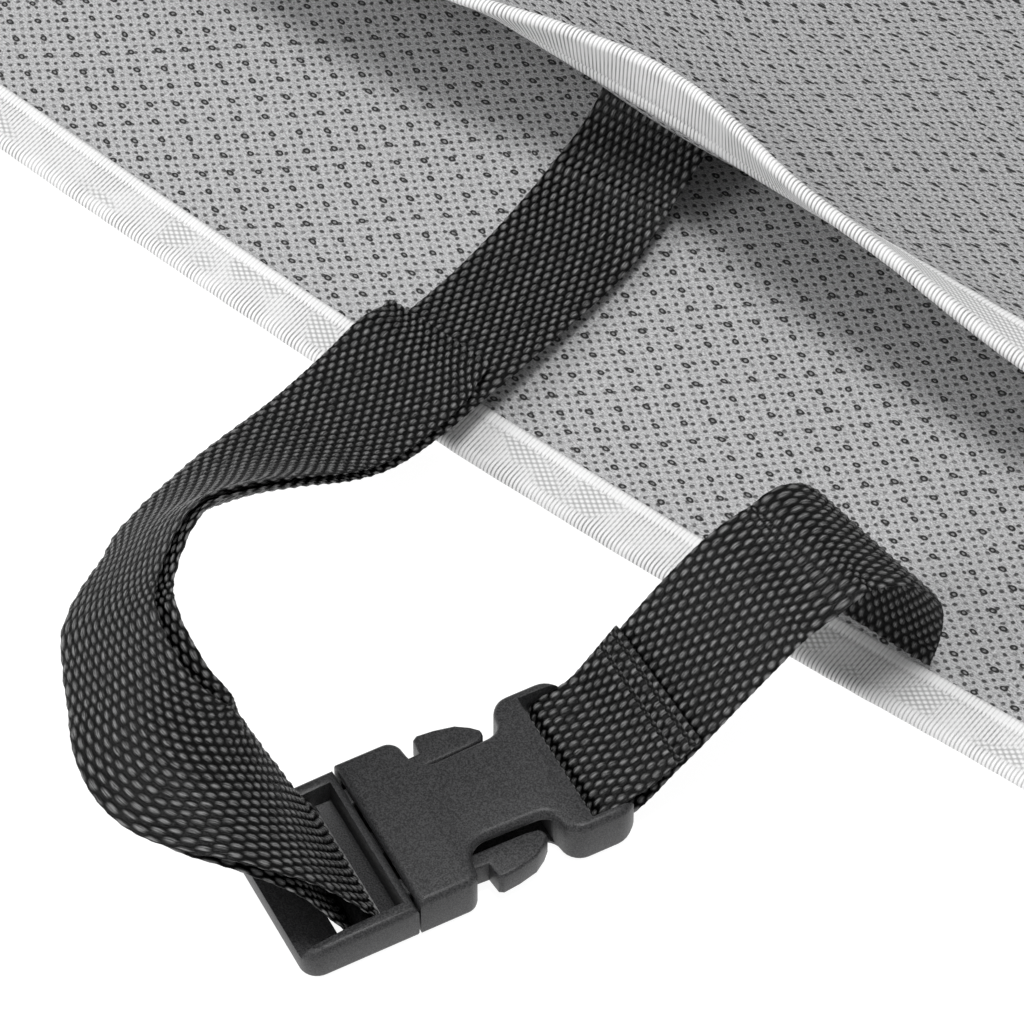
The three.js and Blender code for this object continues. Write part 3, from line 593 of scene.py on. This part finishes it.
def strap_line(rows, tail):
    # The middle line of the whole strap: place, direction across it, and outward side of its base layer.
    end, slide, turn, slip = tail

    def frame_at(t):
        x, y, z, across, tilt, apart = curve_value(rows, t)
        ahead = Vector(curve_value(rows, min(t + 0.01, len(rows) - 1))[:3])
        behind = Vector(curve_value(rows, max(t - 0.01, 0))[:3])
        tangent = (ahead - behind).normalized()
        across, tilt = math.radians(across), math.radians(tilt)
        side = Vector((math.cos(across) * math.cos(tilt), math.sin(across) * math.cos(tilt), math.sin(tilt)))
        side = (side - tangent * side.dot(tangent)).normalized()
        slipped = slip * smooth(t, LOOP[0], LOOP[1]) * (1 - smooth(t, LOOP[2], LOOP[3]))
        return Vector((x, y, z)), tangent, side, tangent.cross(side), apart, slipped

    last = len(rows) - 1
    line = []
    for i in range(last * ROW_STEPS + 1):
        at, _, side, face, apart, slipped = frame_at(i / ROW_STEPS)
        line.append((at - face * apart + side * slipped, side, face))
    at, tangent, side, face, apart, _ = frame_at(last)
    for i in range(1, TURN_STEPS):
        angle = math.pi * i / TURN_STEPS
        inner = face * math.cos(angle) - tangent * math.sin(angle)
        line.append((at - inner * apart, side, inner))
    for i in range(last * ROW_STEPS, end * ROW_STEPS - 1, -1):
        at, _, side, face, apart, slipped = frame_at(i / ROW_STEPS)
        loose = ((last - i / ROW_STEPS) / (last - end)) ** TAIL_SPREAD
        skewed = Matrix.Rotation(math.radians(turn) * loose, 3, face) @ side
        line.append((at + face * apart + side * (slide * loose - slipped), skewed, -face))
    return line


def even_line(line, step):
    # The same line in even steps, with the length along it at each.
    lengths = [0.0]
    for (a, _, _), (b, _, _) in zip(line, line[1:]):
        lengths.append(lengths[-1] + (b - a).length)
    count = round(lengths[-1] / step)
    even = []
    for i in range(count + 1):
        target = lengths[-1] * i / count
        k = min(max(bisect.bisect_right(lengths, target) - 1, 0), len(line) - 2)
        share = (target - lengths[k]) / max(lengths[k + 1] - lengths[k], 1e-9)
        (a, side_a, face_a), (b, side_b, face_b) = line[k], line[k + 1]
        side = side_a.lerp(side_b, share).normalized()
        even.append((a.lerp(b, share), side, face_a.lerp(face_b, share).normalized(), target))
    return even


def float_height(u, v):
    # Height of the woven floats: long lozenges in a brick pattern, sunk where they dive.
    best = 0.0
    for shift in (0.0, 0.5):
        du = ((u / FLOAT_LENGTH + shift) % 1 - 0.5) * FLOAT_LENGTH / FLOAT_SIZE[0]
        dv = ((v / FLOAT_WIDTH + shift) % 1 - 0.5) * FLOAT_WIDTH / FLOAT_SIZE[1]
        best = max(best, 1 - du * du - dv * dv)
    return best


def strap_mesh(line, seams):
    # Both faces and both edges of a strap, with a vertex on each crest and in each hollow of its weave.
    line = even_line(line, FLOAT_LENGTH / 6)
    count = 2 * CELLS + 4
    bm = bmesh.new()
    bmesh.ops.create_grid(bm, x_segments=len(line) - 1, y_segments=count, size=1)
    place_of = {}
    half = WEBBING / 2
    for vert in bm.verts:
        i = round((vert.co.x + 1) / 2 * (len(line) - 1))
        j = round((vert.co.y + 1) / 2 * count) % count
        at, side, face, u = line[i]
        if j <= CELLS:
            v, up, edge = mix(-half, half, j / CELLS), 1, 0
        elif j == CELLS + 1:
            v, up, edge = half, 0, 1
        elif j <= 2 * CELLS + 2:
            v, up, edge = mix(half, -half, (j - CELLS - 2) / CELLS), -1, 0
        else:
            v, up, edge = -half, 0, -1
        place = (u, v) if up >= 0 else (u + FLOAT_LENGTH / 2, v + 24 * FLOAT_WIDTH)
        rim = smooth(half - abs(v), 0, RIM)
        rise = (WEB / 2 - FLOAT_HEIGHT * (1 - float_height(*place))) * mix(RIM_SHARE, 1, rim)
        for seam, lift in seams:
            # A negative place counts back from the strap's end.
            seam_place = seam if seam > 0 else line[-1][3] + seam
            rise += lift * (1 - smooth(abs(u - seam_place), 0.3, 1.1))
        lumps = EDGE_LUMP * math.cos(4 * math.pi * u / FLOAT_LENGTH) * smooth(abs(v), half - 1.2, half)
        sideways = v + edge * EDGE_BULGE + math.copysign(lumps, v)
        sideways += WANDER * noise.noise(Vector((u / 30, 1.5, 2.5)))
        vert.co = at + side * sideways + face * up * rise
        place_of[vert.index] = place
    close_sleeve(bm, place_of)
    return bm, line[-1][3]


# Polypropylene multifilament webbing, dyed black in the melt: the filaments give each float fine
# streaks along the strap. Each float's crown is painted lighter as a painted highlight, and the gaps between
# floats are painted black as painted shade.
webbing_black, tree, shader = new_finish("polypropylene_webbing")
cut = node(tree, "ShaderNodeUVMap", uv_map="cut").outputs[0]
floats = lattice(tree, cut, FLOAT_LENGTH, FLOAT_WIDTH, FLOAT_SIZE)
filament_place = node(tree, "ShaderNodeMapping", {"Vector": cut, "Scale": (0.55, 3.6, 1)}).outputs[0]
filaments = node(tree, "ShaderNodeTexNoise", {"Vector": filament_place, "Scale": 1.0,
    "Detail": 3.0}).outputs["Fac"]
crown = band(tree, floats, 0.86, 0.32)
strands = band(tree, filaments, 0.3, 0.68, 0.12, 1.0)
# Painted highlight on the float crowns and painted shade in the gaps between them, mixed into the base
# colour.
painted_crown_light = node(tree, "ShaderNodeMath", {0: crown, 1: strands}, operation="MULTIPLY").outputs[0]
black = node(tree, "ShaderNodeMix", {"Factor": painted_crown_light, 6: linear("010101"), 7: linear("7c7c7c")},
    data_type="RGBA").outputs[2]
tree.links.new(black, shader.inputs["Base Color"])
grain = node(tree, "ShaderNodeBump", {"Height": filaments, "Strength": 0.8, "Distance": 0.0002}).outputs[0]
crowned = node(tree, "ShaderNodeBump", {"Height": crown, "Strength": 0.9, "Distance": 0.0004,
    "Normal": grain}).outputs[0]
tree.links.new(crowned, shader.inputs["Normal"])
shader.inputs["Roughness"].default_value = 0.36
shader.inputs["Specular IOR Level"].default_value = 0.16

for name, line, seams, cad_node, rests in (
    ("webbing_strap_long", strap_line(LONG_STRAP, LONG_TAIL), LONG_SEAMS, "strap_long", [panel_lower]),
    ("webbing_strap_short", strap_line(SHORT_STRAP, SHORT_TAIL), SHORT_SEAMS, "strap_short", [binding_lower]),
):
    mesh, length = strap_mesh(line, seams)
    strap = fit(name, mesh, webbing_black, cad_node)


# The buckle is a side release buckle for 25 mm webbing, moulded in acetal in two halves with a fine
# spark-eroded grain. The socket ends in a lug with a bar; the plug carries the two spring arms that
# show at the socket's waist, and a ladder adjuster. u runs from the adjuster to the lug.
BUCKLE_TO_HEM = Matrix.Translation((6.8, -85.8, 0)) @ Matrix.Rotation(math.radians(65), 4, "Z")
BUCKLE_HALF = 15.6
BUCKLE_BASE = 0.4
SOCKET_TOP = 9.6
SOCKET_END = 41
LUG_HALF = 14.9
SLOT_HALF = 13.2
SLOT_FROM = 32.4
LUG_BALL = 5
LUG_BAR = {"u": 36.8, "z": 5.2, "radius": 1.6}
FRAME_END = -20.3
WINDOW_FROM = -12.4
WINDOW_TO = -4.7
LEDGE_TO = -1.9
LEDGE_TOP = 3.4
END_PLATE_TOP = 2.6
FRAME_TOP = 8.4
FRAME_BAR = {"u": -8.4, "z": 4.4, "radius": 1.6}
ARM_FROM = 2.4
ARM_TO = 7.5
THROUGH = 2


def arc(centre, radius, start, end, count=8):
    return [(centre[0] + radius * math.cos(math.radians(mix(start, end, i / count))),
        centre[1] + radius * math.sin(math.radians(mix(start, end, i / count))))
        for i in range(count + 1)]


def plate_mesh(outline, low, high, rim, segments=4):
    # An upright plate from its outline, with its upper and lower rims rounded.
    bm = bmesh.new()
    face = bm.faces.new([bm.verts.new((u, v, low)) for u, v in outline])
    grown = bmesh.ops.extrude_face_region(bm, geom=[face])
    top = [part for part in grown["geom"] if isinstance(part, bmesh.types.BMVert)]
    bmesh.ops.translate(bm, vec=(0, 0, high - low), verts=top)
    bmesh.ops.recalc_face_normals(bm, faces=bm.faces)
    level = [edge for edge in bm.edges if abs(edge.verts[0].co.z - edge.verts[1].co.z) < 1e-4]
    bmesh.ops.bevel(bm, geom=level, offset=rim, offset_type="OFFSET", affect="EDGES", segments=segments,
        profile=0.5, material=-1, clamp_overlap=True)
    return bm


def box_mesh(u0, u1, v0, v1, z0, z1):
    bm = bmesh.new()
    bmesh.ops.create_cube(bm, size=1)
    bmesh.ops.scale(bm, vec=(u1 - u0, v1 - v0, z1 - z0), verts=bm.verts)
    bmesh.ops.translate(bm, vec=((u0 + u1) / 2, (v0 + v1) / 2, (z0 + z1) / 2), verts=bm.verts)
    return bm


def slot_box(u0, u1, z0, z1):
    # A box as wide as the webbing's slots.
    return box_mesh(u0, u1, -SLOT_HALF, SLOT_HALF, z0, z1)


def bar_mesh(u, z, radius):
    # A round bar across the buckle, let into both of its sides.
    half = SLOT_HALF + 1
    bm = bmesh.new()
    bmesh.ops.create_cone(bm, cap_ends=True, segments=24, radius1=radius, radius2=radius, depth=2 * half)
    bmesh.ops.rotate(bm, cent=(0, 0, 0), matrix=Matrix.Rotation(math.pi / 2, 3, "X"), verts=bm.verts)
    bmesh.ops.translate(bm, vec=(u, 0, z), verts=bm.verts)
    return bm


def carved(body, tools):
    # The body with each tool joined to it or cut out of it, as one closed mesh.
    objects = []
    for bm in [body] + [tool for _, tool in tools]:
        mesh = bpy.data.meshes.new("blank")
        bm.to_mesh(mesh)
        bm.free()
        objects.append(bpy.data.objects.new("blank", mesh))
        bpy.context.scene.collection.objects.link(objects[-1])
    for (operation, _), tool in zip(tools, objects[1:]):
        step = objects[0].modifiers.new("step", "BOOLEAN")
        step.operation = operation
        step.object = tool
        step.solver = "EXACT"
    bpy.context.view_layer.update()
    shaped = objects[0].evaluated_get(bpy.context.evaluated_depsgraph_get())
    result = bmesh.new()
    result.from_mesh(shaped.to_mesh())
    for piece in objects:
        mesh = piece.data
        bpy.data.objects.remove(piece)
        bpy.data.meshes.remove(mesh)
    return result


def softened(bm, width):
    # Every edge that still turns by more than 38 degrees, rounded as the mould leaves it.
    bmesh.ops.remove_doubles(bm, verts=bm.verts, dist=1e-3)
    bmesh.ops.dissolve_limit(bm, angle_limit=math.radians(1), verts=bm.verts, edges=bm.edges)
    sharp = [edge for edge in bm.edges if edge.is_manifold and edge.calc_face_angle(0) > math.radians(38)]
    bmesh.ops.bevel(bm, geom=sharp, offset=width, offset_type="OFFSET", affect="EDGES", segments=3,
        profile=0.5, material=-1, clamp_overlap=True)
    bmesh.ops.remove_doubles(bm, verts=bm.verts, dist=1e-3)
    bmesh.ops.recalc_face_normals(bm, faces=bm.faces)
    return bm


# The socket is hollow, and its lug is open but for the bar that the short strap is sewn round. This
# is one side of its outline, from the mouth to the lug.
side_line = ([(0, BUCKLE_HALF), (8.2, BUCKLE_HALF)] + arc((8.6, BUCKLE_HALF - 2.6), 2.6, 90, 10)
    + arc((15.2, 12.4), 3.9, 190, 270) + [(24.2, 8.8)] + arc((24.4, 11.9), 3.1, 275, 340, 5)
    + arc((31, LUG_HALF - 3.6), 3.6, 178, 90, 7)
    + arc((SOCKET_END - 4.6, LUG_HALF - 4.6), 4.6, 90, 8))
outline = side_line + [(u, -v) for u, v in reversed(side_line)]
socket = plate_mesh(outline, BUCKLE_BASE, SOCKET_TOP, 1.3)
for place in (LUG_BALL, 3.6, 2.4, 1.4, 0.7):
    bmesh.ops.bisect_plane(socket, geom=socket.verts[:] + socket.edges[:] + socket.faces[:], dist=1e-4,
        plane_co=(SOCKET_END - place, 0, 0), plane_no=(1, 0, 0))
for vert in socket.verts:
    # The lug is rounded like a ball at its end, from above and more from below.
    depth = (SOCKET_TOP - vert.co.z) / (SOCKET_TOP - BUCKLE_BASE)
    reach = min(max(vert.co.x - (SOCKET_END - LUG_BALL), 0) / LUG_BALL, 1)
    vert.co.z += (depth * 4.2 - (1 - depth) * 1.8) * (1 - math.sqrt(1 - reach ** 2))
bent = [face for face in socket.faces if max(v.co.x for v in face.verts) > SOCKET_END - LUG_BALL + 0.1]
bmesh.ops.triangulate(socket, faces=bent)
socket = carved(socket, [
    ("DIFFERENCE", box_mesh(-THROUGH, 27, -12.9, 12.9, 2.0, 7.9)),
    ("DIFFERENCE", slot_box(SLOT_FROM, SOCKET_END + THROUGH, -1, SOCKET_TOP + THROUGH)),
    ("UNION", bar_mesh(**LUG_BAR)),
])
socket = softened(socket, 0.28)

# The plug: two rails with an end plate, a bar and a ledge between them, and a guide tongue and two
# arms that reach into the socket.
rails = arc((FRAME_END + 3.4, BUCKLE_HALF - 3.4), 3.4, 175, 90) + [(-0.3, BUCKLE_HALF)]
rails = rails + [(u, -v) for u, v in reversed(rails)]
plug = plate_mesh(rails, BUCKLE_BASE, FRAME_TOP, 1.3)
for vert in plug.verts:
    # The rails fall a little to the outer end of the adjuster and are rounded there.
    depth = (vert.co.z - BUCKLE_BASE) / (FRAME_TOP - BUCKLE_BASE)
    vert.co.z -= depth * (0.6 * smooth(-vert.co.x, 2, 20) + 2.2 * smooth(-vert.co.x, 16.5, 20.8))
above_end_plate = slot_box(FRAME_END - 1, WINDOW_FROM + 0.5, END_PLATE_TOP, FRAME_TOP + 3)
for vert in above_end_plate.verts:
    # The plate rises to 5 mm at its outer end.
    if vert.co.z < 3 and vert.co.x < FRAME_END:
        vert.co.z = 5
plug = carved(plug, [
    ("DIFFERENCE", slot_box(WINDOW_FROM, WINDOW_TO, -1, FRAME_TOP + THROUGH)),
    ("DIFFERENCE", slot_box(WINDOW_TO - 0.5, LEDGE_TO, LEDGE_TOP, FRAME_TOP + THROUGH)),
    ("DIFFERENCE", above_end_plate),
    ("UNION", bar_mesh(**FRAME_BAR)),
    ("UNION", box_mesh(-1.5, 19, -2.2, 2.2, 3.0, 6.9)),
])
plug = softened(plug, 0.3)
grip = [(-1.5, 8), (11, 9.4), (22, 9.6)] + arc((23.2, 11.4), 1.7, -60, 20, 4) + [
    (23.6, 13.2), (21.5, 14.6), (18, 15.4), (15, 15.7), (14.2, 15.2), (13.9, 12.4), (-1.5, 11.6)]
for side in (1, -1):
    arm = plate_mesh([(u, side * v) for u, v in grip], ARM_FROM, ARM_TO, 0.6, 3)
    mesh = bpy.data.meshes.new("arm")
    arm.to_mesh(mesh)
    arm.free()
    plug.from_mesh(mesh)
    bpy.data.meshes.remove(mesh)

# Acetal, black, moulded against a spark-eroded tool: the grain, about a quarter of a millimetre
# across, makes it a soft dark grey, with a dull sheen where the rounded edges turn to the light.
acetal, tree, shader = new_finish("acetal_spark_grain")
place = node(tree, "ShaderNodeTexCoord").outputs["Object"]
grain = node(tree, "ShaderNodeTexNoise", {"Vector": place, "Scale": 3800.0, "Detail": 2.0,
    "Roughness": 0.6}).outputs["Fac"]
speck = node(tree, "ShaderNodeMix", {"Factor": band(tree, grain, 0.3, 0.72), 6: linear("1c1c1d"),
    7: linear("434344")}, data_type="RGBA").outputs[2]
tree.links.new(speck, shader.inputs["Base Color"])
pitted = node(tree, "ShaderNodeBump", {"Height": grain, "Strength": 0.4, "Distance": 0.0001}).outputs[0]
tree.links.new(pitted, shader.inputs["Normal"])
shader.inputs["Roughness"].default_value = 0.38
shader.inputs["IOR"].default_value = 1.48
shader.inputs["Specular IOR Level"].default_value = 0.28

for name, mesh, cad_node in (
    ("buckle_socket_half", socket, "buckle_socket"),
    ("buckle_plug_half", plug, "buckle_plug"),
):
    bmesh.ops.transform(mesh, matrix=BUCKLE_TO_HEM, verts=mesh.verts)
    half_piece = fit(name, mesh, acetal, cad_node)
    half_piece.data.set_sharp_from_angle(angle=math.radians(32))


# A white studio table and two soft lamps: the main one hangs above the mouth, so the raised hem and
# the straps shade the cloth below them, and a wider one in front lights the rear end of the hem.
floor_mesh = bmesh.new()
bmesh.ops.create_grid(floor_mesh, x_segments=1, y_segments=1, size=4)
floor_data = bpy.data.meshes.new("studio_table")
floor_mesh.to_mesh(floor_data)
floor_mesh.free()
floor = bpy.data.objects.new("studio_table", floor_data)
bpy.context.scene.collection.objects.link(floor)
table_white, tree, shader = new_finish("table_paint")
shader.inputs["Base Color"].default_value = linear("8c8c8c")
shader.inputs["Roughness"].default_value = 0.9
shader.inputs["Specular IOR Level"].default_value = 0.1
shader.inputs["Emission Color"].default_value = (1, 1, 1, 1)
shader.inputs["Emission Strength"].default_value = 0.93
floor_data.materials.append(table_white)

world = bpy.data.worlds.new("studio")
world.use_nodes = True
world.node_tree.nodes["Background"].inputs["Color"].default_value = (1, 1, 1, 1)
world.node_tree.nodes["Background"].inputs["Strength"].default_value = 0.5
bpy.context.scene.world = world


def lamp(name, place, aim, size, watts):
    data = bpy.data.lights.new(name, "AREA")
    data.shape = "DISK"
    data.size = size
    data.energy = watts
    light = bpy.data.objects.new(name, data)
    light.location = place
    light.rotation_euler = (Vector(place) - Vector(aim)).to_track_quat("Z", "Y").to_euler()
    bpy.context.scene.collection.objects.link(light)


mouth = HEM_TO_PART @ Vector((-20, 0, 0))
lamp("lamp_above", mouth + Vector((0.15, 0.0, 1.65)), mouth, 0.5, 15)
lamp("lamp_front", mouth + Vector((-0.7, -1.0, 1.0)), mouth, 0.9, 9)

bpy.context.scene.view_settings.view_transform = "Standard"
